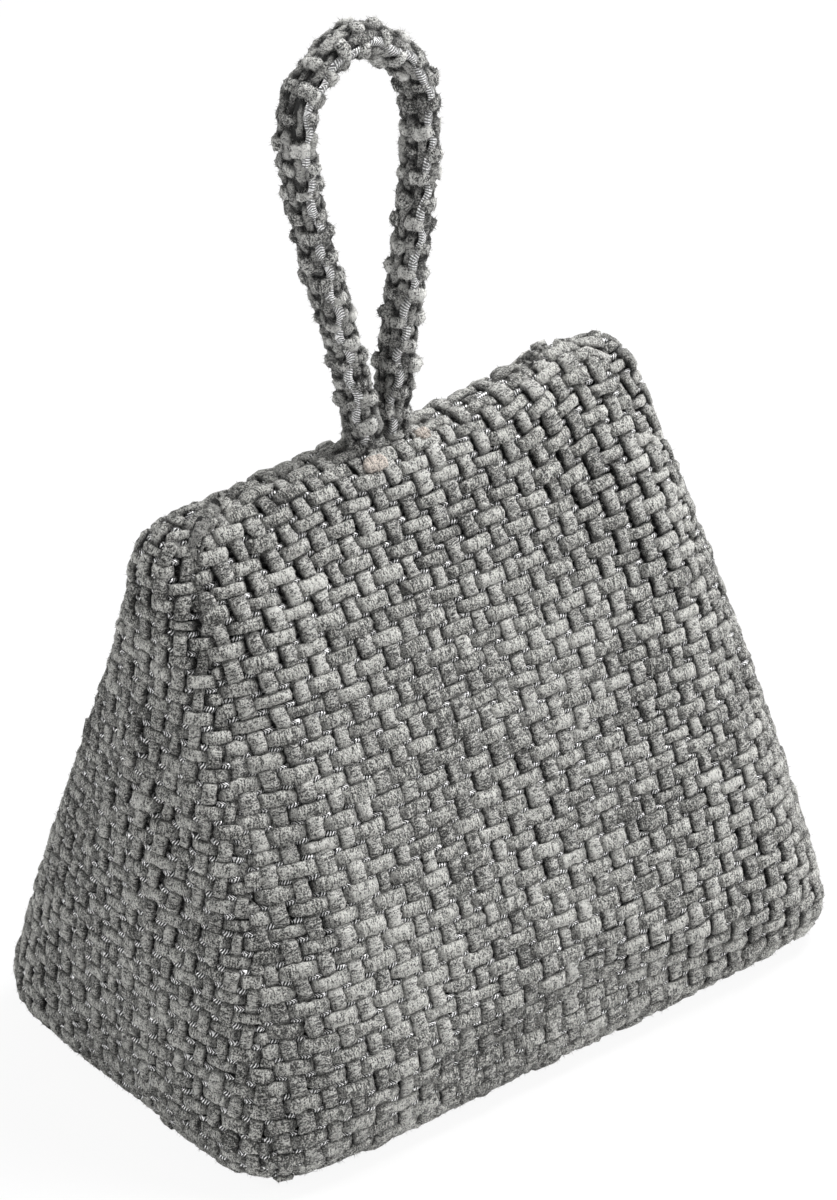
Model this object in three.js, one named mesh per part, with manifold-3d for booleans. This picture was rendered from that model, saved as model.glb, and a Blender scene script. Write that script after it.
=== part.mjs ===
// Weighted fabric door stop: a sewn bag of chunky woven cloth, filled and closed, and a loop handle
// of the same cloth whose two ends are sewn into the seam along the bag's ridge.
// Millimetres, +Z up, +X along the ridge. The bag stands on Z = 0, centred on the origin.

import * as THREE from 'three';
import { mergeVertices } from 'three/addons/utils/BufferGeometryUtils.js';
import Module from 'manifold-3d';

// The filled bag
const belly_length = 209;      // end to end, low down where the filling pushes out
const belly_width = 133;       // front to back at the same height
const ridge_length = 152;      // end to end of the ridge
const ridge_height = 163.7;    // at the middle of the ridge, beside the handle
const ridge_width = 18;        // front to back just below the rounding of the ridge
const ridge_shift = -8.5;      // how far the ridge leans to the left of the base
const ridge_reach = 5.75;      // power: how quickly the ridge's lean, ears and dip die out below it
const ear_rise_left = -0.9;    // how far the ridge's left corner stands above its middle
const ear_rise_right = 8.8;    // the same at the right corner
const ear_start = 0.4;         // where the ridge starts to rise, as a share of its half length
const ear_full = 0.72;         // where it has risen
const dip_depth = 2.2;         // the soft dent in the ridge beside its left corner
const dip_at = -0.57;          // its place, as a share of the ridge's half length
const dip_width = 0.15;        // its half width, as the same share
const base_round = 13;         // radius at which the cloth turns under
const ridge_round = 7;         // radius at which the front and back turn into the ridge seam
const end_round_left = 15;     // radius at which the left end turns into the ridge's corner
const end_round_right = 8;     // the same at the right end, where the ear stands
const end_lean = 0.85;         // power: how early the two ends lean in towards the ridge
const face_swell = 1.48;       // power: how far up the front and back keep their width
const ridge_swell = 0.81;      // power: how blunt the bag is just below the ridge
const base_corner = 7.35;      // power of the rounded rectangle seen from above, at the base
const ridge_corner = 3.44;     // the same at the ridge
const corner_change = 0.5;     // power: how early the corners grow rounder on the way up

// The cloth: chunky plain weave
const weft_pitch = 5.2;        // from one crosswise yarn to the next
const front_columns = 23;      // lengthwise yarns across the front and across the back
const end_columns = 11;        // lengthwise yarns across each end
const weft_crown = 1.5;        // how far a crosswise float stands above the middle of the cloth
const warp_crown = 0.9;        // the same for a lengthwise float, which is pulled tighter
const crossing_depth = 1.2;    // how far the cloth sinks between the floats
const seam_depth = 2.2;        // how far the seams pull in
const floor_fade = 8;          // height over which the weave flattens out towards the floor

// The handle: a strip folded to a thick strap, bent to a loop
const strap_width = 9.5;       // along Y
const strap_thickness = 7.5;   // across the loop's own curve
const strap_corner = 2.7;      // power of its rounded section
const loop_x = -11;            // middle of the two sewn ends, along the ridge
const loop_height = 108.6;     // above the ridge, over the top of the strap
const loop_width = 44.5;       // over both limbs, at the widest
const loop_widest_at = 0.76;   // share of the loop's height
const loop_lean = -3.5;        // how far the top of the loop leans along X
const strap_relief = 0.8;
const strap_sides = 10;
const strap_step = 3.3;        // between two tufts along the strap
const sewn_in = 12;            // length of each end held in the ridge seam
const sewn_clearance = 0.3;

const cloth_colour = 0x8a8b87;
const cloth_roughness = 0.95;

const wasm = await Module();
wasm.setup();

// How far a rounded edge of this radius has turned in, at a distance from the edge's flat side
function turnedIn(radius, distance) {
  const into = Math.max(0, 1 - distance / radius);
  return radius * (1 - Math.sqrt(1 - into * into));
}

// Middle, reach to the left and right, half width and power of the bag's outline, at a share of its height
function outlineAt(share) {
  const under = turnedIn(base_round, share * ridge_height);
  const below_ridge = (1 - share) * ridge_height;
  const lean = (belly_length - ridge_length) / 2 * (1 - share) ** end_lean;
  const swell = (belly_width - ridge_width) / 2 * (1 - share ** face_swell) ** (1 / ridge_swell);
  return {
    middle: ridge_shift * share ** ridge_reach,
    left: ridge_length / 2 + lean - under - turnedIn(end_round_left, below_ridge),
    right: ridge_length / 2 + lean - under - turnedIn(end_round_right, below_ridge),
    width: ridge_width / 2 + swell - under - turnedIn(ridge_round, below_ridge),
    power: ridge_corner + (base_corner - ridge_corner) * (1 - share) ** corner_change
  };
}

// Height of a point: the ridge rises to its two ears, and the rows below it less and less
function heightAt(share, x) {
  const out = 2 * (x - ridge_shift) / ridge_length;
  const ear = out < 0 ? ear_rise_left : ear_rise_right;
  const rise = ear * THREE.MathUtils.smoothstep(Math.abs(out), ear_start, ear_full);
  const dip = dip_depth * Math.exp(-(((out - dip_at) / dip_width) ** 2));
  return share * ridge_height + (rise - dip) * share ** ridge_reach;
}

// Shares of the height at which the rows of crosswise yarn meet, evenly spaced over the front
function rowEdges() {
  const steps = 4000;
  const walked = [0];
  let last = outlineAt(0);
  for (let i = 1; i <= steps; i++) {
    const here = outlineAt(i / steps);
    walked.push(walked[i - 1] + Math.hypot(here.width - last.width, ridge_height / steps));
    last = here;
  }
  const rows = Math.round(walked[steps] / weft_pitch);
  const shares = [];
  let i = 0;
  for (let row = 0; row <= rows; row++) {
    while (i < steps && walked[i] < walked[steps] * row / rows) i++;
    shares.push(i / steps);
  }
  return shares;
}

// The edge between two rows, round the bag: a corner seam, the front, a corner, an end, and so on
function ringAt(share) {
  const { middle, left, right, width, power } = outlineAt(share);
  const corner = 0.5 ** (1 / power);
  const bulge = (reach, other, place) => other * (1 - Math.abs(place / reach) ** power) ** (1 / power);
  const ring = [];
  const panel = (columns, pointAt) => {
    for (let i = 0; i < columns; i++) {
      const [out, y] = pointAt(corner * (2 * i / columns - 1));
      const x = middle + out;
      ring.push(new THREE.Vector3(x, y, heightAt(share, x)));
    }
  };
  const alongX = way => place => {
    const length = way * place < 0 ? left : right;
    return [way * place * length, -way * bulge(length, width, place * length)];
  };
  const alongY = (way, length) => place => [way * bulge(width, length, place * width), way * place * width];
  panel(front_columns, alongX(1));
  panel(end_columns, alongY(1, right));
  panel(front_columns, alongX(-1));
  panel(end_columns, alongY(-1, left));
  return ring;
}

const around = 2 * (front_columns + end_columns);
const seams = [0, front_columns, front_columns + end_columns, 2 * front_columns + end_columns];

// Number of the column within its own panel
function columnOf(i) {
  return i - seams.filter(seam => seam <= i).at(-1);
}

function geometryOf(points, faces) {
  const geometry = new THREE.BufferGeometry();
  geometry.setAttribute('position', new THREE.Float32BufferAttribute(points.flatMap(p => p.toArray()), 3));
  geometry.setIndex(faces.flat());
  return geometry;
}

// The bag's skin: each crossing of the weave is a low four-sided crown between its sunken corners
function bagGeometry() {
  const rings = rowEdges().map(ringAt);
  const rows = rings.length - 1;
  const at = (row, i) => rings[Math.min(Math.max(row, 0), rows)][(i + around) % around];
  const points = [];
  const put = (point, outward, depth) => {
    const fade = Math.min(1, point.z / floor_fade);
    points.push(point.clone().addScaledVector(outward, depth * fade));
  };
  for (let row = 0; row <= rows; row++) {
    for (let i = 0; i < around; i++) {
      const along = at(row, i + 1).clone().sub(at(row, i - 1));
      const outward = along.cross(at(row + 1, i).clone().sub(at(row - 1, i))).normalize();
      put(at(row, i), outward, seams.includes(i) ? -seam_depth : -crossing_depth);
    }
  }
  const faces = [];
  for (let row = 0; row < rows; row++) {
    for (let i = 0; i < around; i++) {
      const [a, b, c, d] = [at(row, i), at(row, i + 1), at(row + 1, i + 1), at(row + 1, i)];
      const middle = a.clone().add(b).add(c).add(d).divideScalar(4);
      const outward = c.clone().sub(a).cross(d.clone().sub(b)).normalize();
      const crown = (row + columnOf(i)) % 2 ? weft_crown : warp_crown;
      const narrow = Math.min(1, 2 * a.distanceTo(b) / weft_pitch, 2 * a.distanceTo(d) / weft_pitch);
      put(middle, outward, crown * narrow);
      const top = points.length - 1;
      const edge = [row * around + i, row * around + (i + 1) % around];
      edge.push(edge[1] + around, edge[0] + around);
      edge.forEach((from, side) => faces.push([from, edge[(side + 1) % 4], top]));
    }
  }
  closeAlongMiddle(points, faces, 0, 0, true);
  closeAlongMiddle(points, faces, rows * around, seam_depth, false);
  return geometryOf(points, faces);
}

// Closes a ring with a line of points down its middle, from one end of the bag to the other
function closeAlongMiddle(points, faces, start, sunk, facing_down) {
  const middle = points.length;
  for (let i = 0; i <= front_columns; i++) {
    const front = points[start + i];
    const height = facing_down ? front.z : front.z - sunk;
    points.push(new THREE.Vector3(front.x, 0, height));
  }
  const face = (a, b, c) => faces.push(facing_down ? [a, c, b] : [a, b, c]);
  const across = start + 2 * front_columns + end_columns;
  for (let i = 0; i < front_columns; i++) {
    const [front, back, line] = [start + i, across - i, middle + i];
    face(front, front + 1, line + 1);
    face(front, line + 1, line);
    face(line, line + 1, back - 1);
    face(line, back - 1, back);
  }
  for (let i = 0; i < end_columns; i++) {
    const right = start + front_columns + i;
    const left = across + i;
    face(right, right + 1, middle + front_columns);
    face(left, left + 1 < start + around ? left + 1 : start, middle);
  }
}

// The middle line of the strap, from one sewn end up round the loop and down to the other
function loopCurve() {
  const foot_apart = strap_thickness / 2 + sewn_clearance;
  const half = (loop_width - strap_thickness) / 2;
  const base = heightAt(1, loop_x);
  const rise = ridge_height + loop_height - strap_thickness / 2 - base;
  const spread = half - foot_apart;
  const limb = [
    [foot_apart, -sewn_in / rise],
    [foot_apart, 0],
    [foot_apart + 0.29 * spread, 0.31 * loop_widest_at],
    [foot_apart + 0.72 * spread, 0.66 * loop_widest_at],
    [half, loop_widest_at],
    [0.86 * half, loop_widest_at + 0.6 * (1 - loop_widest_at)]
  ];
  const place = (way, [out, share]) => new THREE.Vector3(
    loop_x + way * out + loop_lean * Math.max(0, share), 0, base + rise * share);
  return new THREE.CatmullRomCurve3([
    ...limb.map(point => place(-1, point)),
    place(0, [0, 1]),
    ...limb.map(point => place(1, point)).reverse()
  ], false, 'centripetal');
}

// Corners of the strap's rounded section, as offsets across the loop's curve and along Y
function strapSection() {
  const corners = [];
  for (let i = 0; i < strap_sides; i++) {
    const turn = 2 * Math.PI * (i + 0.5) / strap_sides;
    const reach = (Math.abs(Math.cos(turn)) ** strap_corner + Math.abs(Math.sin(turn)) ** strap_corner)
      ** (-1 / strap_corner);
    corners.push(new THREE.Vector2(
      strap_thickness / 2 * reach * Math.cos(turn), strap_width / 2 * reach * Math.sin(turn)));
  }
  return corners;
}

function handleGeometry() {
  const curve = loopCurve();
  const steps = Math.round(curve.getLength() / strap_step);
  const section = strapSection();
  const points = [];
  for (let step = 0; step <= steps; step++) {
    const middle = curve.getPointAt(step / steps);
    const along = curve.getTangentAt(step / steps);
    const across = new THREE.Vector3(along.z, 0, -along.x);
    const seated = middle.z < heightAt(1, loop_x) + strap_thickness / 2;
    section.forEach((corner, i) => {
      const tuft = seated ? -strap_relief : strap_relief * ((i + step) % 2 ? 1 : -1);
      const out = corner.clone().setLength(corner.length() + tuft);
      points.push(middle.clone().addScaledVector(across, out.x).add(new THREE.Vector3(0, out.y, 0)));
    });
  }
  const faces = [];
  for (let step = 0; step < steps; step++) {
    for (let i = 0; i < strap_sides; i++) {
      const [here, next] = [step * strap_sides, (step + 1) * strap_sides];
      const beside = (i + 1) % strap_sides;
      faces.push([here + i, here + beside, next + beside], [here + i, next + beside, next + i]);
    }
  }
  const last = steps * strap_sides;
  for (let i = 1; i + 1 < strap_sides; i++) {
    faces.push([0, i + 1, i], [last, last + i, last + i + 1]);
  }
  return geometryOf(points, faces);
}

// The opening in the ridge seam that takes both ends of the strap side by side
function seamPocketGeometry() {
  const depth = sewn_in + sewn_clearance;
  const pocket = new THREE.BoxGeometry(
    2 * (strap_thickness + 2 * sewn_clearance), strap_width + 2 * sewn_clearance, depth + strap_width);
  pocket.translate(loop_x, 0, heightAt(1, loop_x) + (strap_width - depth) / 2);
  return pocket;
}

function toSolid(geometry) {
  const bare = geometry.clone();
  bare.deleteAttribute('normal');
  bare.deleteAttribute('uv');
  const merged = mergeVertices(bare);
  return new wasm.Manifold(new wasm.Mesh({
    numProp: 3,
    vertProperties: new Float32Array(merged.attributes.position.array),
    triVerts: new Uint32Array(merged.index.array)
  }));
}

function toGeometry(solid) {
  const mesh = solid.getMesh();
  const geometry = new THREE.BufferGeometry();
  geometry.setAttribute('position', new THREE.BufferAttribute(mesh.vertProperties, 3));
  geometry.setIndex(new THREE.BufferAttribute(mesh.triVerts, 1));
  geometry.computeVertexNormals();
  return geometry;
}

function clothMaterial(name) {
  return new THREE.MeshStandardMaterial({
    name,
    color: cloth_colour,
    roughness: cloth_roughness,
    metalness: 0
  });
}

function clothMesh(name, geometry) {
  const mesh = new THREE.Mesh(geometry, clothMaterial(name + '_cloth'));
  mesh.name = name;
  return mesh;
}

const bag = toSolid(bagGeometry()).subtract(toSolid(seamPocketGeometry()));
const doorStop = new THREE.Group();
doorStop.add(clothMesh('bag', toGeometry(bag)));
doorStop.add(clothMesh('handle_loop', handleGeometry()));

export default doorStop;
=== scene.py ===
import math
import bpy
import bmesh
import numpy as np
from mathutils import Matrix, Vector
from mathutils.bvhtree import BVHTree


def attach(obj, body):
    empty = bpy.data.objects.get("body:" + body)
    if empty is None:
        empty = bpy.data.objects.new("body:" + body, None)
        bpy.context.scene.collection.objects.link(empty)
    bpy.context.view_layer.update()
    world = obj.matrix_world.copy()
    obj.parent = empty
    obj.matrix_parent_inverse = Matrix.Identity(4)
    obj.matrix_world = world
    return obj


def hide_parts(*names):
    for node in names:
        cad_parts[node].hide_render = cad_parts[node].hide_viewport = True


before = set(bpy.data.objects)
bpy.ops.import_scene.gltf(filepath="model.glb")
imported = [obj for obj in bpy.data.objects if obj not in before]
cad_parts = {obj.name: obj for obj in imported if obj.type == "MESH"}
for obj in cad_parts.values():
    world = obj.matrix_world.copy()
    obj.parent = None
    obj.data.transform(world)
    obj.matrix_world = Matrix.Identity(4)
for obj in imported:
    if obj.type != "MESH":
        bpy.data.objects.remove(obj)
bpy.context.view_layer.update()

# The camera: a long lens at standing height, turned so that the left end and the front both show.
# It is placed before the making starts. Its lens is worked out for a frame 1200 high, as in
# the photograph's 837 by 1200.
frame_height_px = 1200
focal_px = 3726
camera_at = Vector((-0.5166, -0.6766, 0.5650))
looks_at = Vector((-0.0015, -0.0030, 0.1148))
tilt = math.radians(-1.40)

lens = bpy.data.cameras.new("camera")
lens.sensor_fit = "VERTICAL"
lens.sensor_height = 36
lens.lens = focal_px / frame_height_px * lens.sensor_height
lens.clip_end = 20
camera = bpy.data.objects.new("camera", lens)
aim = (looks_at - camera_at).to_track_quat("-Z", "Y").to_matrix().to_4x4()
camera.matrix_world = Matrix.Translation(camera_at) @ aim @ Matrix.Rotation(tilt, 4, "Z")
bpy.context.scene.collection.objects.link(camera)
bpy.context.scene.camera = camera


# The filled bag: panels of heavy cloth sewn into a tent with a flat base, stuffed with fibre over a
# pouch of sand and closed along the ridge. This piece is the filled shape under the cloth. Its dark
# colour is painted shade, seen only as the shadow between the yarns. A cloth simulation swells it.
MM = 0.001
belly_length, belly_width = 209, 133
ridge_length, ridge_width, ridge_height = 152, 18, 163.7
ear_rise_left, ear_rise_right, ear_start, ear_full = -0.9, 8.8, 0.4, 0.72
dip_depth, dip_at, dip_width = 2.2, -0.57, 0.15
ridge_shift, ridge_reach = -8.5, 5.75
base_round, ridge_round, end_round_left, end_round_right = 13, 7, 15, 8
end_lean, face_swell, ridge_swell = 0.85, 1.48, 0.81
base_corner, ridge_corner, corner_change = 7.35, 3.44, 0.5
cloth_thickness = 4.4


def turned_in(radius, distance):
    """How far a rounded edge has turned in, at a distance from its flat side."""
    into = np.clip(1 - distance / radius, 0, 1)
    return radius * (1 - np.sqrt(1 - into ** 2))


def outline(share):
    """Reach to the left and right, half width and corner power at a share of the bag's height."""
    under = turned_in(base_round, share * ridge_height)
    below_ridge = (1 - share) * ridge_height
    lean = (belly_length - ridge_length) / 2 * (1 - share) ** end_lean
    swell = (belly_width - ridge_width) / 2 * (1 - share ** face_swell) ** (1 / ridge_swell)
    left = ridge_length / 2 + lean - under - turned_in(end_round_left, below_ridge)
    right = ridge_length / 2 + lean - under - turned_in(end_round_right, below_ridge)
    width = ridge_width / 2 + swell - under - turned_in(ridge_round, below_ridge)
    power = ridge_corner + (base_corner - ridge_corner) * (1 - share) ** corner_change
    return left, right, width, power


def height(share, x):
    """The ridge rises to an ear at each corner and dips beside the left one, and the rows of yarn
    below it less and less."""
    out = 2 * (x - ridge_shift) / ridge_length
    step = np.clip((np.abs(out) - ear_start) / (ear_full - ear_start), 0, 1)
    rise = np.where(out < 0, ear_rise_left, ear_rise_right) * step * step * (3 - 2 * step)
    rise = rise - dip_depth * np.exp(-((out - dip_at) / dip_width) ** 2)
    return share * ridge_height + rise * share ** ridge_reach


def on_side(side, share, place):
    """Points of the front (0), right end (1), back (2) or left end (3), from seam to seam as
    place goes from -1 to 1, anticlockwise seen from above."""
    left, right, width, power = outline(share)
    if side % 2 == 0:
        reach, other = np.where(place * (1 - side) < 0, left, right), width
    else:
        reach, other = width, right if side == 1 else left
    along = place * reach * 0.5 ** (1 / power)
    bulge = other * (1 - np.abs(along / reach) ** power) ** (1 / power)
    turn = side * math.pi / 2
    x = along * round(math.cos(turn)) + bulge * round(math.sin(turn)) + ridge_shift * share ** ridge_reach
    y = along * round(math.sin(turn)) - bulge * round(math.cos(turn))
    return np.stack([x, y, height(share, x)], -1)


def new_object(name, bm, smooth=True):
    """Writes a bmesh to a new object at the origin and gives it to the object's body."""
    mesh = bpy.data.meshes.new(name)
    bm.to_mesh(mesh)
    bm.free()
    mesh.polygons.foreach_set("use_smooth", [smooth] * len(mesh.polygons))
    piece = bpy.data.objects.new(name, mesh)
    bpy.context.scene.collection.objects.link(piece)
    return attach(piece, "root")


around, tall, under_rings = 120, 64, 8
bm = bmesh.new()
bmesh.ops.create_uvsphere(bm, u_segments=around, v_segments=tall, radius=1)
for vert in bm.verts:
    level = (0.5 + math.asin(max(-1, min(1, vert.co.z))) / math.pi) * tall
    share = max(0, (level - under_rings) / (tall - under_rings)) ** 0.9
    shrink = min(1, level / under_rings)
    turn = math.atan2(vert.co.y, vert.co.x)
    left, right, width, power = outline(np.float64(share))
    length = left if vert.co.x < 0 else right
    reach = (abs(math.cos(turn)) ** power + abs(math.sin(turn)) ** power) ** (-1 / power)
    if level > tall - 0.5:
        reach = 0
    x = shrink * length * reach * math.cos(turn) + ridge_shift * share ** ridge_reach
    vert.co = (x, shrink * width * reach * math.sin(turn), float(height(share, x)))
bmesh.ops.recalc_face_normals(bm, faces=bm.faces)
bm.normal_update()
for vert in bm.verts:
    vert.co -= vert.normal * cloth_thickness
    vert.co = vert.co * MM
ground = new_object("bag_shade_core", bm)


def swell(piece, voxel, pressure, cap, calm, frames=20):
    """Blows the piece up like a cushion, less and less over the last part up to the calm height,
    and keeps the result in its mesh."""
    scene = bpy.context.scene
    remesh = piece.modifiers.new("remesh", "REMESH")
    remesh.mode = "VOXEL"
    remesh.voxel_size = voxel
    graph = bpy.context.evaluated_depsgraph_get()
    piece.data = bpy.data.meshes.new_from_object(piece.evaluated_get(graph))
    piece.modifiers.clear()
    before = np.empty(len(piece.data.vertices) * 3)
    piece.data.vertices.foreach_get("co", before)
    cloth = piece.modifiers.new("cloth", "CLOTH")
    cloth.settings.use_pressure = True
    cloth.settings.uniform_pressure_force = pressure
    cloth.settings.effector_weights.gravity = 0
    cloth.settings.quality = 6
    cloth.settings.tension_stiffness = 40
    cloth.settings.compression_stiffness = 40
    cloth.settings.bending_stiffness = 2
    for number in range(1, frames + 1):
        scene.frame_set(number)
    graph = bpy.context.evaluated_depsgraph_get()
    blown = piece.evaluated_get(graph).to_mesh()
    after = np.empty(len(before))
    blown.vertices.foreach_get("co", after)
    piece.evaluated_get(graph).to_mesh_clear()
    piece.modifiers.clear()
    scene.frame_set(1)
    before, move = before.reshape(-1, 3), (after - before).reshape(-1, 3)
    far = np.linalg.norm(move, axis=1, keepdims=True)
    fade = np.clip((calm - before[:, 2:]) / 0.035, 0, 1)
    moved = before + fade * move * np.minimum(1, cap / np.maximum(far, 1e-9))
    piece.data.vertices.foreach_set("co", moved.ravel())
    piece.data.update()


bag_core_floor = 0.0012
swell(ground, voxel=0.004, pressure=4, cap=0.004, calm=0.150)
# Its two upper corners are drawn in, to stay under the yarns there.
corner_taken_in, corner_height, corner_reach = 3.0, 135, 42
for vert in ground.data.vertices:
    x, _, z = vert.co / MM
    up = max(0, min(1, (z - corner_height) / 15))
    high = up * max(0, min(1, (abs(x - ridge_shift) - corner_reach) / 12))
    vert.co = vert.co - Vector((math.copysign(1, x - ridge_shift), 0, 0.8)) * corner_taken_in * high * MM
    vert.co.z = max(vert.co.z, bag_core_floor)
ground.data.polygons.foreach_set("use_smooth", [True] * len(ground.data.polygons))
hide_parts("bag")


class Value:
    """A socket of a material. Sums with it add Math nodes."""

    def __init__(self, finish, socket):
        self.finish, self.socket = finish, socket

    def math(self, operation, *others):
        inputs = dict(enumerate((self,) + others))
        return self.finish.node("ShaderNodeMath", {"operation": operation}, inputs)

    def __add__(self, other):
        return self.math("ADD", other)

    def __sub__(self, other):
        return self.math("SUBTRACT", other)

    def __mul__(self, other):
        return self.math("MULTIPLY", other)

    def __rsub__(self, other):
        return self.finish.node("ShaderNodeMath", {"operation": "SUBTRACT"}, {0: other, 1: self})

    __radd__ = __add__

    def clamped(self):
        return self.finish.node("ShaderNodeClamp", {}, {"Value": self})


class Finish:
    """A procedural material, with its shader's constant settings on the shader itself."""

    def __init__(self, name, **constants):
        self.material = bpy.data.materials.new(name)
        self.material.use_nodes = True
        self.tree = self.material.node_tree
        self.shader = self.tree.nodes["Principled BSDF"]
        for key, value in constants.items():
            self.shader.inputs[key.replace("_", " ")].default_value = value

    def node(self, kind, settings, inputs, output=0):
        node = self.tree.nodes.new(kind)
        for key, value in settings.items():
            setattr(node, key, value)
        for key, value in inputs.items():
            self.feed(node.inputs[key], value)
        return Value(self, node.outputs[output])

    def feed(self, socket, value):
        if isinstance(value, Value):
            self.tree.links.new(value.socket, socket)
        elif socket.type == "RGBA":
            socket.default_value = (*value, 1)
        else:
            socket.default_value = value

    def attribute(self, name):
        return self.node("ShaderNodeAttribute", {"attribute_name": name}, {}, "Fac")

    def noise(self, scale, detail=2, vector=None, roughness=0.5):
        where = vector or self.node("ShaderNodeTexCoord", {}, {}, "Object")
        inputs = {"Vector": where, "Scale": scale, "Detail": detail, "Roughness": roughness}
        return self.node("ShaderNodeTexNoise", {}, inputs)

    def blend(self, factor, first, second):
        inputs = {0: factor, 6: first, 7: second}
        return self.node("ShaderNodeMix", {"data_type": "RGBA"}, inputs, 2)

    def bump(self, height, strength, distance):
        inputs = {"Height": height, "Strength": strength, "Distance": distance}
        return self.node("ShaderNodeBump", {}, inputs)

    def paint(self, **sockets):
        for key, value in sockets.items():
            self.feed(self.shader.inputs[key.replace("_", " ")], value)
        return self.material


# Painted shade: the bag core is near black and lightly speckled, so that it shows as the shadow between and
# under the yarns.
gap_shade = Finish("painted shade under the yarns", Roughness=0.95, Sheen_Weight=0.1)
shade_grain = gap_shade.noise(1400, 3)
ground.data.materials.append(gap_shade.paint(
    Base_Color=gap_shade.blend(shade_grain, (0.018, 0.018, 0.018), (0.06, 0.06, 0.058)),
    Normal=gap_shade.bump(shade_grain, 0.5, 0.0006)))


# The woven cloth: thick chenille yarns in plain weave. The crosswise ones run level round the bag,
# the lengthwise ones climb to the ridge, and a thin bright braid lies between each two crosswise
# yarns. They are laid over the filled bag panel by panel, and their ends go into the seams.
column_pitch, row_pitch = 7.0, 4.75
yarn_steps = 6
step = 1.5
seam_lap = 1.1
pile_length, pile_width = 1.3, 0.14
random = np.random.default_rng(7)


def smoothed(grid, passes):
    """Averages a grid with its neighbours, to the same shape."""
    for _ in range(passes):
        wide = np.pad(grid, 1, mode="edge")
        grid = (4 * grid + wide[:-2, 1:-1] + wide[2:, 1:-1] + wide[1:-1, :-2] + wide[1:-1, 2:]) / 8
    return grid


def unit(vectors):
    return vectors / (np.linalg.norm(vectors, axis=-1, keepdims=True) + 1e-9)


class Panel:
    """A piece of cloth: points of its middle surface by millimetres across (u) and up (v)."""

    def __init__(self, points, reach, step_u, step_v, loose=(0, 0, 0)):
        self.points, self.reach, self.loose = points, reach, loose
        self.step_u, self.step_v = step_u, step_v
        self.middle = (points.shape[1] - 1) / 2
        self.top = (points.shape[0] - 1) * step_v
        self.normals = unit(np.cross(np.gradient(points, axis=1), np.gradient(points, axis=0)))

    def sample(self, table, u, v):
        col = np.clip(u / self.step_u + self.middle, 0, table.shape[1] - 1.001)
        row = np.clip(v / self.step_v, 0, table.shape[0] - 1.001)
        c, r = col.astype(int), row.astype(int)
        right, up = (col - c)[:, None], (row - r)[:, None]
        low = table[r, c] * (1 - right) + table[r, c + 1] * right
        high = table[r + 1, c] * (1 - right) + table[r + 1, c + 1] * right
        return low * (1 - up) + high * up

    def looseness(self, u, v):
        """How open the weave is, at the foot, at the top and at the right edge, or, where that is
        below 0, at the left one."""
        low, high, right = self.loose
        up = np.clip((v / self.top - 0.62) / 0.25, 0, 1)
        aside = np.clip((math.copysign(1, right) * u / self.reach_at(v) - 0.2) / 0.4, 0, 1)
        return np.maximum(low + (high - low) * up, abs(right) * aside)

    def reach_at(self, v):
        """How far the panel reaches from its middle line to its seam."""
        return np.interp(v, np.arange(len(self.reach)) * self.step_v, self.reach)


def side_panel(side, tree):
    """Lays a panel's grid over one side, each row measured from its middle, and swells it."""
    shares = np.linspace(0, 1, 3000)
    walked = np.hypot(np.diff(outline(shares)[2]), np.diff(shares) * ridge_height)
    walked = np.concatenate([[0], np.cumsum(walked)])
    rows = int(walked[-1] / step) + 1
    place = np.linspace(-1.03, 1.03, 161)
    lines, reach = [], []
    for share in np.interp(np.linspace(0, walked[-1], rows), walked, shares):
        line = on_side(side, share, place)
        length = np.concatenate([[0], np.cumsum(np.linalg.norm(np.diff(line, axis=0), axis=1))])
        length -= np.interp(0, place, length)
        lines.append((line, length))
        reach.append(np.interp(1, place, length) + seam_lap)
    if side % 2 == 0:
        for inward, down in ((0.45, 0), (0, 0.9)):
            line, length = lines[rows - 1]
            lines.append((line * (1, inward, 1) - (0, 0, down), length))
            reach.append(reach[-1])
    loose = ((0.12, 0.72, 0.65), (0.3, 1, 0), (0, 1, 0), (0.1, 0.9, -0.6))[side]
    half = int(max(reach) / step) + 2
    u = np.arange(-half, half + 1) * step
    grid = [np.stack([np.interp(u, at, line[:, k]) for k in range(3)], -1) for line, at in lines]
    panel = Panel(np.stack(grid), np.array(reach), step, walked[-1] / (rows - 1), loose)
    return swelled(panel, tree)


def swelled(panel, tree):
    """Moves a panel out or in with the simulated bag core."""
    out = np.zeros(panel.points.shape[:2])
    start = 0.012
    for r in range(0, out.shape[0], 2):
        for c in range(0, out.shape[1], 2):
            normal = Vector(panel.normals[r, c])
            hit = tree.ray_cast(Vector(panel.points[r, c]) * MM + normal * start, -normal, 2 * start)
            gap = 0 if hit[0] is None else (start - hit[3]) / MM + cloth_thickness
            out[r:r + 2, c:c + 2] = max(-2.0, min(2.0, gap))
    out = smoothed(out, 12)
    points = panel.points + panel.normals * (out - cloth_thickness / 3)[..., None]
    return Panel(points, panel.reach, panel.step_u, panel.step_v, panel.loose)


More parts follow.
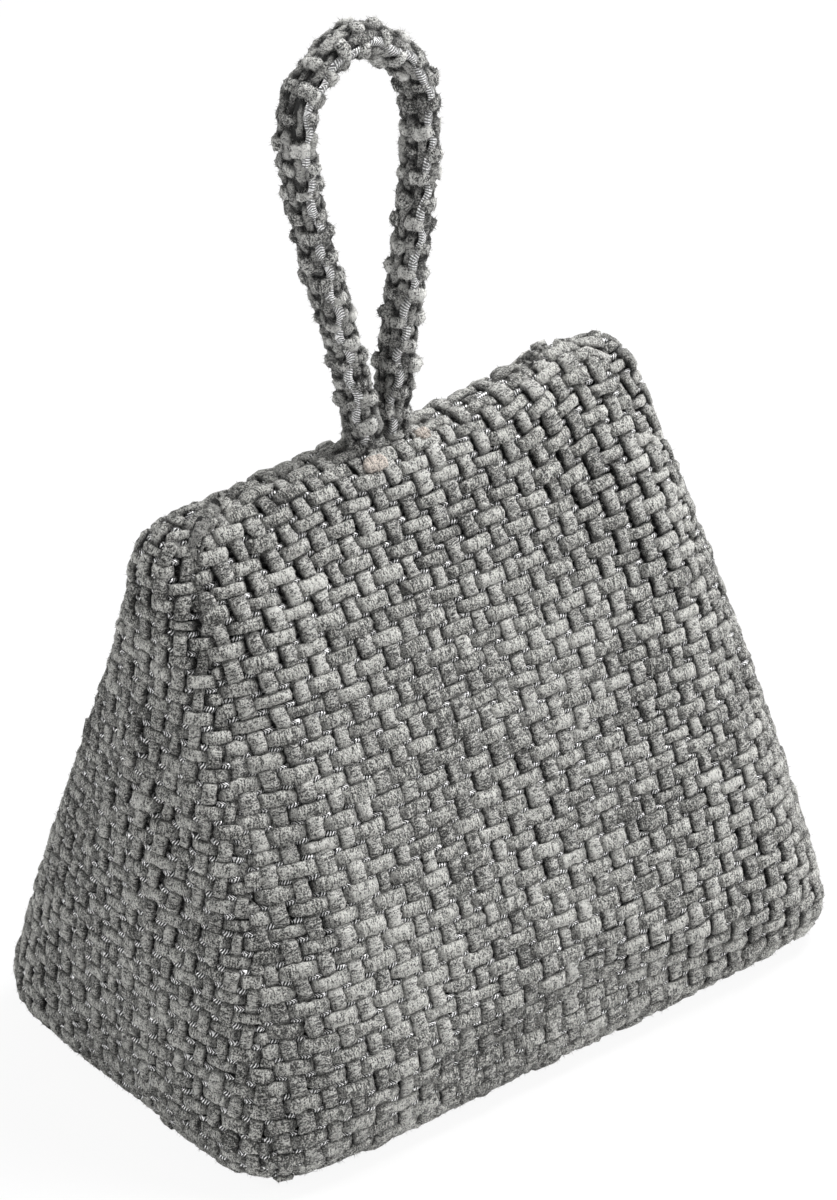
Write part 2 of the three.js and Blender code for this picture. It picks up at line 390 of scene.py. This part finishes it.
class Yarns:
    """Collects yarns as lists of rings, and makes one object of them. Lit is how open to the light
    their sides are at least, from -1 to 1."""

    def __init__(self, name, sides, square=0.5, lit=-1):
        self.name, self.sides, self.square, self.lit, self.yarns = name, sides, square, lit, []

    def add(self, middle, normal, wide, thick, tone, over, rough=0.09, closed=False):
        """One yarn: points along its middle, the cloth's normal there, and its half sizes."""
        along = np.gradient(middle, axis=0)
        if closed:
            along[0] = along[-1] = middle[1] - middle[-2]
        along = unit(along)
        normal = unit(normal - along * (normal * along).sum(1, keepdims=True))
        aside = np.cross(normal, along)
        turn = np.linspace(0, 2 * math.pi, self.sides + 1)
        uneven = random.normal(1, rough, (len(middle), self.sides + 1))
        uneven[:, -1] = uneven[:, 0]
        uneven[-1] = uneven[0] if closed else 1
        c = np.sign(np.cos(turn)) * np.abs(np.cos(turn)) ** self.square * uneven
        s = np.sign(np.sin(turn)) * np.abs(np.sin(turn)) ** self.square * uneven
        rings = (middle[:, None] + aside[:, None] * (wide[:, None] * c)[..., None]
                 + normal[:, None] * (thick[:, None] * s)[..., None])
        length = np.concatenate([[0], np.cumsum(np.linalg.norm(np.diff(middle, axis=0), axis=1))])
        self.yarns.append((rings, length, tone, over, np.maximum(np.sin(turn), self.lit)))

    def pile(self, name, count, material, slot):
        """Stands fine fibres on the yarns, as thin spikes that lean at random."""
        weights = np.array([len(rings) for rings, *_ in self.yarns], float)
        chosen = random.choice(len(self.yarns), count, p=weights / weights.sum())
        base, tip, tone = np.empty((count, 3)), np.empty((count, 3)), np.empty(count)
        for number in np.unique(chosen):
            rings, length, tones, over, top = self.yarns[number]
            here = np.flatnonzero(chosen == number)
            i = random.integers(1, len(rings) - 2, len(here))
            shown = np.flatnonzero(top > -0.3)
            j = random.choice(shown, len(here))
            share = random.uniform(0, 1, (len(here), 1))
            root = rings[i, j] * (1 - share) + rings[i + 1, j] * share
            middle = rings[i].mean(1)
            out = unit(root - middle) + random.normal(0, 0.45, (len(here), 3))
            base[here] = root - 0.15 * unit(out)
            tip[here] = root + unit(out) * random.uniform(0.25, pile_length, (len(here), 1))
            tone[here] = tones[i]
        aside = unit(np.cross(tip - base, random.normal(0, 1, (count, 3)))) * pile_width / 2
        bm = bmesh.new()
        bmesh.ops.create_grid(bm, x_segments=2 * count - 1, y_segments=1, size=1)
        bm.faces.ensure_lookup_table()
        across = [round((face.calc_center_median().x + 1) / 2 * (2 * count - 1) - 0.5) for face in bm.faces]
        between = [face for face, column in zip(bm.faces, across) if column % 2]
        bmesh.ops.delete(bm, geom=between, context="FACES_ONLY")
        mesh = bpy.data.meshes.new(name)
        bm.to_mesh(mesh)
        bm.free()
        flat = np.empty(len(mesh.vertices) * 3)
        mesh.vertices.foreach_get("co", flat)
        flat = flat.reshape(-1, 3)
        column = np.rint((flat[:, 0] + 1) / 2 * (2 * count - 1)).astype(int)
        fibre, right, upper = column // 2, column % 2, flat[:, 1] > 0
        placed = np.where(upper[:, None], tip[fibre], base[fibre] + aside[fibre] * (2 * right - 1)[:, None])
        placed[:, 2] = np.maximum(placed[:, 2], 0.02)
        mesh.vertices.foreach_set("co", (placed * MM).ravel())
        values = {"along": fibre * 0.37, "around": right * 0.1, "tone": tone[fibre],
                  "over": np.ones(len(flat)), "top": np.ones(len(flat))}
        for key, value in values.items():
            mesh.attributes.new(key, "FLOAT", "POINT").data.foreach_set("value", value)
        corners = np.empty(len(mesh.loops), dtype=np.int32)
        mesh.loops.foreach_get("vertex_index", corners)
        side = math.ceil(math.sqrt(count))
        tile = np.stack([fibre % side + 0.2 + 0.6 * right, fibre // side + 0.2 + 0.6 * upper], -1) / side
        mesh.uv_layers.new(name="OFBake").data.foreach_set("uv", tile[corners].ravel())
        bm = bmesh.new()
        bm.from_mesh(mesh)
        bpy.data.meshes.remove(mesh)
        bmesh.ops.remove_doubles(bm, verts=bm.verts, dist=1e-7)
        piece = new_object(name, bm, smooth=False)
        piece.data.materials.append(material)
        return piece

    def make(self, material, slot, floor=0.02):
        """Rolls a flat grid of faces round each yarn's rings."""
        bm = bmesh.new()
        for rings, *_ in self.yarns:
            bmesh.ops.create_grid(bm, x_segments=len(rings) - 1, y_segments=self.sides, size=1)
        mesh = bpy.data.meshes.new(self.name)
        bm.to_mesh(mesh)
        bm.free()
        flat = np.empty(len(mesh.vertices) * 3)
        mesh.vertices.foreach_get("co", flat)
        flat = flat.reshape(-1, 3)
        names = ("along", "around", "tone", "over", "top")
        fields = {key: np.empty(len(flat)) for key in names}
        unrolled = np.empty((len(flat), 2))
        placed = np.empty((len(flat), 3))
        first = 0
        for number, (rings, length, tone, over, top) in enumerate(self.yarns):
            part = slice(first, first + len(rings) * (self.sides + 1))
            i = np.rint((flat[part, 0] + 1) / 2 * (len(rings) - 1)).astype(int)
            j = np.rint((flat[part, 1] + 1) / 2 * self.sides).astype(int)
            placed[part] = rings[i, j]
            fields["along"][part] = length[i]
            fields["around"][part] = j / self.sides
            fields["tone"][part] = tone[i]
            fields["over"][part] = over[i]
            fields["top"][part] = top[j]
            unrolled[part, 0] = 0.002 + 0.996 * i / (len(rings) - 1)
            unrolled[part, 1] = (number + 0.06 + 0.88 * j / self.sides) / len(self.yarns)
            first = part.stop
        placed[:, 2] = np.maximum(placed[:, 2], floor)
        mesh.vertices.foreach_set("co", (placed * MM).ravel())
        for key, values in fields.items():
            mesh.attributes.new(key, "FLOAT", "POINT").data.foreach_set("value", values)
        corners = np.empty(len(mesh.loops), dtype=np.int32)
        mesh.loops.foreach_get("vertex_index", corners)
        mesh.uv_layers.new(name="OFBake").data.foreach_set("uv", unrolled[corners].ravel())
        bm = bmesh.new()
        bm.from_mesh(mesh)
        bpy.data.meshes.remove(mesh)
        bmesh.ops.remove_doubles(bm, verts=bm.verts, dist=1e-6)
        bmesh.ops.recalc_face_normals(bm, faces=bm.faces)
        piece = new_object(self.name, bm)
        piece.data.materials.append(material)
        return piece


class Kind:
    """A kind of yarn: its half width and half thickness, how far it rises and dips, how long its
    floats are, how uneven they are, and how much shorter they get where the weave is loose."""

    def __init__(self, wide, thick, rise, flat, spread=0.06, opens=0):
        self.wide, self.thick, self.rise, self.flat = wide, thick, rise, flat
        self.spread, self.opens = spread, opens


def wave(place, flat):
    """1 where a yarn is over, -1 where it is under, with level stretches and quick dips."""
    sharp = 3.6
    return np.tanh(sharp * (np.cos(math.pi * place) + flat)) / math.tanh(sharp)


tuck_length, tuck_depth = 1.2, 0.9


def lay(panel, yarns, u, v, place, kind, tucked=True, rough=0.09):
    """Lays one yarn on a path over a panel. Place counts the yarns that it has crossed."""
    loose = panel.looseness(u, v)
    over = wave(place, kind.flat - kind.opens * loose)
    floats = np.rint(place).astype(int)
    floats -= floats.min()
    count = floats.max() + 1
    size = random.normal(1, kind.spread, count)[floats]
    tone = random.uniform(0, 1, count)[floats]
    walked = np.concatenate([[0], np.cumsum(np.hypot(np.diff(u), np.diff(v)))])
    to_end = np.clip(np.minimum(walked, walked[-1] - walked) / tuck_length, 0, 1)
    full = np.sqrt(1 - (1 - to_end) ** 2) if tucked else np.ones(len(u))
    wide = kind.wide * (0.92 + 0.08 * over) * size * full * (1 - 0.13 * loose)
    thick = kind.thick * size * full
    lift = kind.rise * over * size * (1 + 0.35 * loose) - tuck_depth * (1 - full)
    middle = panel.sample(panel.points, u, v)
    normal = panel.sample(panel.normals, u, v)
    if not tucked:
        middle[-1], normal[-1] = middle[0], normal[0]
        wide[-1], thick[-1], lift[-1] = wide[0], thick[0], lift[0]
    yarns.add(middle + normal * lift[:, None], normal, wide, thick, tone, over, rough, not tucked)


def chenille(name, dark, light, deep=0.5, mottled=0.42):
    """Velvety yarn: fine pile across its length, with painted shade at its sides and where it dips."""
    finish = Finish(name, Roughness=0.9, Sheen_Weight=0.15, Sheen_Roughness=0.4,
                    Specular_IOR_Level=0.2)
    along, around = finish.attribute("along"), finish.attribute("around")
    tone, over, top = (finish.attribute(name) for name in ("tone", "over", "top"))
    where = finish.node("ShaderNodeCombineXYZ", {}, {0: along, 1: around * 2.4, 2: tone * 40})
    pile = finish.noise(2.6, 4, where, 0.75)
    tufts = finish.noise(480, 3, None, 0.6)
    grain = finish.noise(2400, 2, None, 0.65)
    patches = finish.noise(30, 2)
    mix = (0.5 + (tone - 0.5) * mottled + (pile - 0.5) * 3.8 + (tufts - 0.5) * 1.9
           + (grain - 0.5) * 4.0 + (patches - 0.5) * 0.8).clamped()
    colour = finish.blend(mix, dark, light)
    # Painted shade: the colour goes to near black at the yarn's sides and where it dips under the cloth.
    # Deep is how much of the painted light is kept halfway down a dip.
    open_to_light = (top * 1.3 + 0.2).clamped() * (over * 0.8 + deep).clamped()
    return finish.paint(
        Base_Color=finish.blend(open_to_light, (0.022, 0.022, 0.021), colour),
        Roughness=0.95 - pile * 0.15,
        Normal=finish.bump(pile * 1.1 + tufts * 0.6 + grain * 0.5, 1.0, 0.0012))


# The crosswise copies on the bag are a little lighter than the lengthwise ones. This is painted sheen,
# since the pile of the two lies different ways. The copies for the ends and the handle keep less painted
# light in the dips (0.3 and 0.35 for 0.5).
weft_finish = chenille("grey chenille, crosswise", (0.07, 0.07, 0.066), (0.80, 0.795, 0.755))
warp_finish = chenille("grey chenille, lengthwise", (0.065, 0.065, 0.062), (0.75, 0.745, 0.71))
end_weft_finish = chenille("grey chenille, ends, crosswise", (0.05, 0.05, 0.047),
                           (0.82, 0.815, 0.775), 0.3)
end_warp_finish = chenille("grey chenille, ends, lengthwise", (0.05, 0.05, 0.047),
                           (0.74, 0.735, 0.70), 0.3)
strap_weft_finish = chenille("grey chenille, handle, crosswise", (0.06, 0.06, 0.058),
                             (0.62, 0.615, 0.59), 0.3, 0.6)
strap_warp_finish = chenille("grey chenille, handle, lengthwise", (0.05, 0.05, 0.048),
                             (0.80, 0.795, 0.765), 0.35, 0.8)


def braided(name, split):
    """Smooth bright cord, plaited: slanting stitches, or three rows of beads where it is split."""
    braid = Finish(name, Roughness=0.35, Metallic=0.4, Specular_IOR_Level=0.7)
    braid_pitch = 0.7
    shade = 0.17 if split else 0.03
    aside = braid.attribute("around") - 0.25
    turns = braid.attribute("along") * (2 * math.pi / braid_pitch) + aside * (4 * math.pi)
    plait = (turns.math("SINE") * 2 + 0.2).clamped()
    if split:
        rows = (aside * (6 * math.pi)).math("COSINE").math("ABSOLUTE")
        plait = plait * (rows * 3).clamped()
    return braid.paint(
        Base_Color=braid.blend(plait, (shade, shade, shade), (0.95, 0.95, 0.95)),
        Normal=braid.bump(plait, 0.8, 0.0004))


braid_finish = braided("bright braid", False)
strap_braid_finish = braided("bright braid, handle", True)

weft = Kind(wide=2.0, thick=1.5, rise=1.1, flat=0.28, spread=0.09, opens=0.36)
warp = Kind(wide=2.2, thick=1.4, rise=1.05, flat=0.22, spread=0.09)
thin = Kind(wide=0.85, thick=0.45, rise=1.65, flat=0)
thin_dip = 3.6
end_weft = Kind(wide=1.75, thick=1.3, rise=0.85, flat=0.25, spread=0.1, opens=0.4)
end_warp = Kind(wide=1.75, thick=1.3, rise=0.9, flat=0.15, spread=0.1)


def lay_braid(panel, yarns, u, v, place, rise=thin.rise, dip=thin_dip, wide=thin.wide):
    """Lays a braid that shows between the yarns that it crosses and dips under each of them."""
    middle, normal = panel.sample(panel.points, u, v), panel.sample(panel.normals, u, v)
    under = (0.5 + 0.5 * np.cos(2 * math.pi * place)) ** 2
    full = np.ones(len(u))
    full[[0, -1]] = 0
    lift = rise - 0.7 * panel.looseness(u, v) - dip * under
    yarns.add(middle + normal * lift[:, None], normal, wide * full, thin.thick * full, full,
              full, rough=0.02)


def drift(u, v, seed, size=0.5):
    """The small sideways wander of yarns in a soft cloth, in millimetres."""
    slow = np.sin(u / 19 + seed * 1.7) * np.cos(v / 23 + seed * 2.9)
    return size * (slow + 0.5 * np.sin(u / 7.3 + v / 11 + seed * 0.6))


def evenly(start, end, pitch, steps, phase=0):
    """Points along a line: so many to each pitch, with both ends."""
    inner = np.arange(math.ceil(start / pitch * steps), end / pitch * steps) + phase
    inner = inner / steps * pitch
    inner = inner[(inner > start + 0.3) & (inner < end - 0.3)]
    return np.concatenate([[start, start + 0.25], inner, [end - 0.25, end]])


def turning(start, end, pitch, shift, shares):
    """Points along a line, close together where the yarn goes over to under, with both ends.
    Shares are places in a pair of crossings, counted from the middle of a float."""
    pairs = np.arange(math.floor((start / pitch + shift) / 2), (end / pitch + shift) / 2 + 2)
    inner = ((2 * pairs[:, None] + np.array(shares)).ravel() - shift) * pitch
    inner = inner[(inner > start + 0.35) & (inner < end - 0.35)]
    return np.concatenate([[start, start + 0.25], inner, [end - 0.25, end]])


fine_turns = (-0.76, -0.62, -0.52, -0.4, -0.2, 0, 0.2, 0.4, 0.52, 0.62, 0.76, 1)
plain_turns = (-0.7, -0.55, -0.4, 0, 0.4, 0.55, 0.7, 1)


def weave(panel, name, seed, crosswise=weft, lengthwise=warp,
          finishes=(weft_finish, warp_finish), sides=8, turns=fine_turns, fibres=0):
    """Weaves one panel, with its rows level and its columns standing."""
    rows = int(panel.top / row_pitch)
    first = (panel.top - rows * row_pitch) / 2 + row_pitch / 2
    columns = int(panel.reach.max() / column_pitch)
    wefts, warps = Yarns(name + "_crosswise_yarns", sides), Yarns(name + "_lengthwise_yarns", sides)
    braids = Yarns(name + "_braids", 4, square=1)
    for row in range(rows):
        level = first + row * row_pitch
        reach = float(panel.reach_at(level))
        u = turning(-reach, reach, column_pitch, row, turns)
        v = level + drift(u, level, seed + 5)
        lay(panel, wefts, u, v, u / column_pitch + row, crosswise)
        level += row_pitch / 2
        reach = float(panel.reach_at(level)) - 0.6
        u = evenly(-reach, reach, column_pitch, yarn_steps, 0.5)
        lay_braid(panel, braids, u, level + drift(u, level, seed + 5), u / column_pitch)
    for column in range(-columns, columns + 1):
        line = column * column_pitch
        v = np.arange(0, panel.top + 0.1, 0.25)
        v = v[panel.reach_at(v) > abs(line) + 0.15 * column_pitch]
        if len(v) < 40:
            continue
        v = turning(v[0], v[-1], row_pitch, column + 1 - first / row_pitch, turns)
        u = line + drift(line, v, seed)
        lay(panel, warps, u, v, (v - first) / row_pitch + column + 1, lengthwise)
    wefts.make(finishes[0], "bag_cloth")
    warps.make(finishes[1], "bag_cloth")
    braids.make(braid_finish, "bag_cloth")
    if fibres:
        wefts.pile(name + "_crosswise_pile", fibres * 3 // 5, finishes[0], "bag_cloth")
        warps.pile(name + "_lengthwise_pile", fibres * 2 // 5, finishes[1], "bag_cloth")


bag_core_tree = BVHTree.FromObject(ground, bpy.context.evaluated_depsgraph_get())
panels = [side_panel(side, bag_core_tree) for side in range(4)]
weave(panels[0], "front", 1, fibres=56000)
end_finishes = (end_weft_finish, end_warp_finish)
weave(panels[1], "right_end", 2, end_weft, end_warp, end_finishes, turns=plain_turns, fibres=12000)
weave(panels[2], "back", 3, turns=plain_turns, fibres=20000)
weave(panels[3], "left_end", 4, end_weft, end_warp, end_finishes, fibres=34000)


# The base: one flat panel of the same cloth, which the bag stands on. It is sewn to the lower edges
# of the four sides, and the filling presses it level.
base_length, base_width, base_power = outline(np.float64(0))[1:]
across = np.arange(0, 2 * base_width, step)
points = [[(u, base_width - v, cloth_thickness / 2 + 0.3)
           for u in np.arange(-round(base_length / step) - 1, round(base_length / step) + 2) * step]
          for v in across]
reach = base_length * (1 - np.abs(across / base_width - 1) ** base_power) ** (1 / base_power) + 1.5
base = Panel(np.array(points), reach, step, step)
weave(base, "base", 9, sides=6, turns=plain_turns)


# The seams: the corner seams hold folded edges of the cloth, which fill the valley between two panels.
# Along the ridge and at the tops of the corners the yarns' ends are caught in the seam, as a row of
# soft tufts, and a braid shows between some of them.
seam_fold = Kind(wide=1.7, thick=1.2, rise=0.15, flat=0, spread=0.12)
tuft_wide, tuft_thick, tuft_apart = 1.75, 1.4, 3.3
corner_tufts = 17
folds = Yarns("seam_folds", 8, lit=0.3)
tufts = Yarns("seam_tufts", 8, lit=0.2)
seam_braids = Yarns("seam_braids", 4, square=1)


def caught(first, middle, last, out):
    """A tuft over a seam, from the cloth at one side of it to the other, drawn in at the middle."""
    t = np.linspace(0, 1, 9)[:, None]
    control = 2 * middle - (first + last) / 2
    path = (1 - t) ** 2 * first + 2 * t * (1 - t) * control + t ** 2 * last
    size = random.uniform(0.75, 1.12) * np.sin(math.pi * np.linspace(0.06, 0.94, 9)) ** 0.4
    size = size * (1 - 0.35 * np.exp(-((t[:, 0] - 0.5) / 0.13) ** 2))
    size[[0, -1]] *= 0.3
    # Painted shade: the tuft's middle, down in the seam, gets a low over value, which darkens its colour.
    drawn = 1 - 1.1 * np.exp(-((t[:, 0] - 0.5) / 0.12) ** 2)
    tufts.add(path, np.broadcast_to(out, path.shape), tuft_wide * size, tuft_thick * size,
              np.full(9, random.uniform(0, 1)), drawn, rough=0.22)


def point(panel, u, v, lift):
    u, v = np.array([u]), np.array([v])
    return (panel.sample(panel.points, u, v) + lift * panel.sample(panel.normals, u, v))[0]


for side in (0, 2):
    panel = panels[side]
    for edge in (-1, 1):
        v = np.arange(3, panel.top - 2, 1.2)
        u = edge * (panel.reach_at(v) - seam_lap)
        sunk = Panel(panel.points - 0.9 * panel.normals, panel.reach, panel.step_u, panel.step_v)
        lay(sunk, folds, u, v, 2 * np.rint(v / row_pitch / 2), seam_fold, rough=0.12)
        beside = panels[(side + edge) % 4]
        for v in np.arange(panel.top - corner_tufts, panel.top + 0.5, tuft_apart):
            near, far = float(panel.reach_at(v)), float(beside.reach_at(v))
            reach = random.uniform(2.2, 4.0, 2)
            first = point(panel, edge * (near - reach[0]), v, 0.9)
            last = point(beside, -edge * max(far - reach[1], 0), v, 0.9)
            middle = point(panel, edge * (near - 0.8), v, -0.6)
            out = unit(first + last - 2 * point(panel, 0, v, -12))
            caught(first, middle, last, out)
front, back = panels[0], panels[2]
for x in np.arange(-front.reach[-1] + 1, front.reach[-1] - 1, tuft_apart):
    x = x + random.normal(0, 0.4)
    back_reach, front_reach = random.uniform(1.5, 3.5), random.uniform(2.2, 4.5)
    first = point(front, x, front.top - front_reach, 1.1)
    last = point(back, -x, back.top - back_reach, 1.1)
    middle = (first + last) / 2
    middle[2] = height(1.0, middle[0]) - random.uniform(1.5, 3.0)
    caught(first, middle, last, (0.0, 0.0, 1.0))
x = np.arange(-front.reach[-1] + 3, front.reach[-1] - 3, 0.7)
shows = 1.4 * np.sin(x / 4.1) + 1.0 * np.sin(x / 2.3 + 1)
line = np.array([point(front, each, front.top - 1.2, 0) for each in x])
seam_braids.add(line + np.array((0, 0, 1)) * (0.4 + 0.55 * shows)[:, None],
                np.broadcast_to((0.0, -0.3, 1.0), line.shape), np.full(len(x), thin.wide),
                np.full(len(x), thin.thick), np.ones(len(x)), np.ones(len(x)), rough=0.02)
folds.make(warp_finish, "bag_cloth")
tufts.make(warp_finish, "bag_cloth")
seam_braids.make(braid_finish, "bag_cloth")
tufts.pile("seam_pile", 14000, warp_finish, "bag_cloth")


# The warm floats: in front of the handle's foot two short floats are of a warmer, sandy grey. They
# are of the same chenille yarn, and stand a little proud of the cloth beside them.
warm_finish = chenille("sandy chenille", (0.12, 0.095, 0.08), (0.80, 0.72, 0.65))
warm = Yarns("warm_floats", 8, lit=0.2)
raised = Panel(front.points + 0.7 * front.normals, front.reach, front.step_u, front.step_v)
for middle_u, middle_v, half_length in ((-10.5, 178.3, 3.2), (7.5, 181.6, 1.8)):
    u = np.linspace(middle_u - half_length, middle_u + half_length, 9)
    lay(raised, warm, u, middle_v + 0 * u, 0 * u, weft)
warm.make(warm_finish, "bag_cloth")


# The handle: a strip of the same cloth, cut along the crosswise yarns and folded to a thick strap.
# It is bent to a loop, and both ends go down into the ridge seam, side by side. Eight crosswise yarns
# run along it, with a bright braid on each face, and the lengthwise yarns ring it.
strap_width, strap_thickness, strap_corner = 9.5, 7.5, 2.7
loop_x, loop_height, loop_width = -11, 108.6, 44.5
loop_widest_at, loop_lean = 0.76, -3.5
sewn_in, sewn_clearance = 12, 0.3


def smooth_curve(points, steps):
    """A smooth curve through points, by the centripetal Catmull and Rom rule, in equal steps."""
    points = np.array([2 * points[0] - points[1], *points, 2 * points[-1] - points[-2]])
    gaps = np.sqrt(np.linalg.norm(np.diff(points, axis=0), axis=1))
    knots = np.concatenate([[0], np.cumsum(gaps)])
    curve = []
    for i in range(1, len(points) - 2):
        t0, t1, t2, t3 = knots[i - 1:i + 3]
        p0, p1, p2, p3 = points[i - 1:i + 3]
        for t in np.linspace(t1, t2, 24, endpoint=False):
            a1 = p0 + (p1 - p0) * (t - t0) / (t1 - t0)
            a2 = p1 + (p2 - p1) * (t - t1) / (t2 - t1)
            a3 = p2 + (p3 - p2) * (t - t2) / (t3 - t2)
            b1 = a1 + (a2 - a1) * (t - t0) / (t2 - t0)
            b2 = a2 + (a3 - a2) * (t - t1) / (t3 - t1)
            curve.append(b1 + (b2 - b1) * (t - t1) / (t2 - t1))
    curve = np.array(curve + [points[-2]])
    walked = np.concatenate([[0], np.cumsum(np.linalg.norm(np.diff(curve, axis=0), axis=1))])
    even = np.linspace(0, walked[-1], steps)
    return np.stack([np.interp(even, walked, curve[:, k]) for k in range(3)], -1), walked[-1]


foot_apart = strap_thickness / 2 + sewn_clearance
half = (loop_width - strap_thickness) / 2
foot_z = float(height(1.0, loop_x))
rise = ridge_height + loop_height - strap_thickness / 2 - foot_z
spread = half - foot_apart
limb = [(foot_apart, -sewn_in / rise), (foot_apart, 0),
        (foot_apart + 0.29 * spread, 0.31 * loop_widest_at),
        (foot_apart + 0.72 * spread, 0.66 * loop_widest_at), (half, loop_widest_at),
        (0.86 * half, loop_widest_at + 0.6 * (1 - loop_widest_at))]


def loop_point(side, out, share):
    lean = loop_lean * max(0, share)
    return np.array([loop_x + side * out + lean, 0, foot_z + rise * share])


loop_points = [loop_point(-1, *point) for point in limb] + [loop_point(0, 0, 1)]
loop_points += [loop_point(1, *point) for point in reversed(limb)]
loop_line, loop_length = smooth_curve(loop_points, 280)

yarn_room = 1.0
tangent = unit(np.gradient(loop_line, axis=0))
sideways = np.array([0.0, 1.0, 0.0])
outward = np.cross(sideways, tangent)
turn = np.linspace(-2 * math.pi, 2 * math.pi, 97)
power = 2 / strap_corner
flat_c = np.sign(np.cos(turn)) * np.abs(np.cos(turn)) ** power
flat_s = np.sign(np.sin(turn)) * np.abs(np.sin(turn)) ** power
half_wide, half_thick = strap_width / 2 - yarn_room, strap_thickness / 2 - yarn_room
section = np.stack([half_wide * flat_s, half_thick * flat_c], -1)
walked = np.concatenate([[0], np.cumsum(np.linalg.norm(np.diff(section, axis=0), axis=1))])
girth = walked[-1] / 2
even = np.linspace(0, 2 * girth, 121)
section = np.stack([np.interp(even, walked, section[:, k]) for k in range(2)], -1)
strap_points = (loop_line[:, None] + section[None, :, :1] * sideways
                + section[None, :, 1:] * outward[:, None])
strap = Panel(strap_points, np.full(len(loop_line), girth / 2), girth / 60,
              loop_length / (len(loop_line) - 1))
# The strap's core has the bag core's painted shade colour, and shows only as the shadow between its yarns.
strap_core = Yarns("handle_core", 12, square=0.75)
core_size = np.ones(len(loop_line))
core_size[[0, -1]] = 0
strap_core.add(loop_line, np.broadcast_to(sideways, loop_line.shape), core_size * (half_thick + 0.3),
               core_size * (half_wide + 0.3), 0 * core_size, 0 * core_size, rough=0)
core = strap_core.make(ground.data.materials[0], "handle_cloth")
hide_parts("handle_loop")

strap_rows = 8
strap_row = girth / strap_rows
strap_pitch = 6.1
strap_weft = Kind(wide=1.25, thick=1.0, rise=0.35, flat=0.1, spread=0.16)
strap_warp = Kind(wide=1.65, thick=1.25, rise=1.0, flat=-0.1, spread=0.17)
twist_at_feet = 0.13
long_yarns = Yarns("handle_crosswise_yarns", 8)
ring_yarns = Yarns("handle_lengthwise_yarns", 12, square=0.9)
strap_braids = Yarns("handle_braids", 4, square=1)


def twisted(v):
    """How far the strap has turned round its own middle, more and more towards its sewn ends."""
    from_top = 2 * v / strap.top - 1
    return twist_at_feet * girth * np.sign(from_top) * np.abs(from_top) ** 1.5


v = evenly(0, strap.top, strap_pitch, yarn_steps)
for row in range(strap_rows):
    across = ((row + 0.5) / strap_rows - 0.5) * girth + twisted(v) + random.normal(0, 0.12, len(v))
    lay(strap, long_yarns, across, v, v / strap_pitch + row, strap_weft, rough=0.17)
for face in (-0.25, 0.25):
    along = evenly(0, strap.top, strap_pitch, yarn_steps, 0.5)
    across = face * girth + twisted(along) + 0.5 * np.sin(math.pi * along / strap_pitch)
    lay_braid(strap, strap_braids, across, along, along / strap_pitch, 1.3, 0.5, 1.15)
for number in range(1, int(strap.top / strap_pitch)):
    u = np.linspace(-girth / 2, girth / 2, strap_rows * yarn_steps + 1)
    wander = 0.5 * np.sin(2 * math.pi * u / girth + 2.4 * number)
    v_ring = number * strap_pitch + wander + 0.3 * np.sin(4 * math.pi * u / girth + number)
    lay(strap, ring_yarns, u + twisted(v_ring), v_ring, u / strap_row + number + 0.5, strap_warp,
        tucked=False, rough=0.14)
long_yarns.make(strap_weft_finish, "handle_cloth")
ring_yarns.make(strap_warp_finish, "handle_cloth")
strap_braids.make(strap_braid_finish, "handle_cloth")
long_yarns.pile("handle_crosswise_pile", 14000, strap_weft_finish, "handle_cloth")
ring_yarns.pile("handle_lengthwise_pile", 28000, strap_warp_finish, "handle_cloth")


# The floor and the light: a plain pale floor and a soft studio light from above and from the front.
# The floor goes on to white behind the object and keeps its shadow.
white = Finish("pale floor")
seen = white.node("ShaderNodeLightPath", {}, {}, "Is Camera Ray")
glow = white.node("ShaderNodeEmission", {}, {"Color": (1, 1, 1), "Strength": 1.0})
matte = white.node("ShaderNodeBsdfDiffuse", {}, {"Color": (0.9, 0.9, 0.9)})
mixed = white.node("ShaderNodeMixShader", {}, {0: seen * 0.92, 1: matte, 2: glow})
white.tree.links.new(mixed.socket, white.tree.nodes["Material Output"].inputs["Surface"])
bm = bmesh.new()
bmesh.ops.create_grid(bm, x_segments=1, y_segments=1, size=6)
mesh = bpy.data.meshes.new("floor")
bm.to_mesh(mesh)
bm.free()
mesh.materials.append(white.material)
floor = bpy.data.objects.new("floor", mesh)
bpy.context.scene.collection.objects.link(floor)

world = bpy.data.worlds.new("studio")
bpy.context.scene.world = world
world.use_nodes = True
nodes, links = world.node_tree.nodes, world.node_tree.links
nodes.clear()
path = nodes.new("ShaderNodeLightPath")
sky, back = nodes.new("ShaderNodeBackground"), nodes.new("ShaderNodeBackground")
sky.inputs["Strength"].default_value = 0.33
back.inputs["Color"].default_value = (1, 1, 1, 1)
sky.inputs["Color"].default_value = (1, 1, 1, 1)
mixer, out = nodes.new("ShaderNodeMixShader"), nodes.new("ShaderNodeOutputWorld")
links.new(path.outputs["Is Camera Ray"], mixer.inputs[0])
links.new(sky.outputs[0], mixer.inputs[1])
links.new(back.outputs[0], mixer.inputs[2])
links.new(mixer.outputs[0], out.inputs[0])


def soft_light(name, place, size, power):
    """A square lamp that faces the middle of the bag."""
    data = bpy.data.lights.new(name, "AREA")
    data.size, data.energy = size, power
    lamp = bpy.data.objects.new(name, data)
    lamp.location = place
    lamp.rotation_euler = (Vector((0, 0, 0.1)) - Vector(place)).to_track_quat("-Z", "Y").to_euler()
    bpy.context.scene.collection.objects.link(lamp)


soft_light("key", (0.55, -0.12, 1.25), 0.45, 22)
soft_light("fill", (1.15, -0.95, 0.85), 0.6, 10)
soft_light("left", (-1.2, 0.6, 0.9), 0.4, 7.5)

bpy.context.scene.view_settings.view_transform = "Standard"
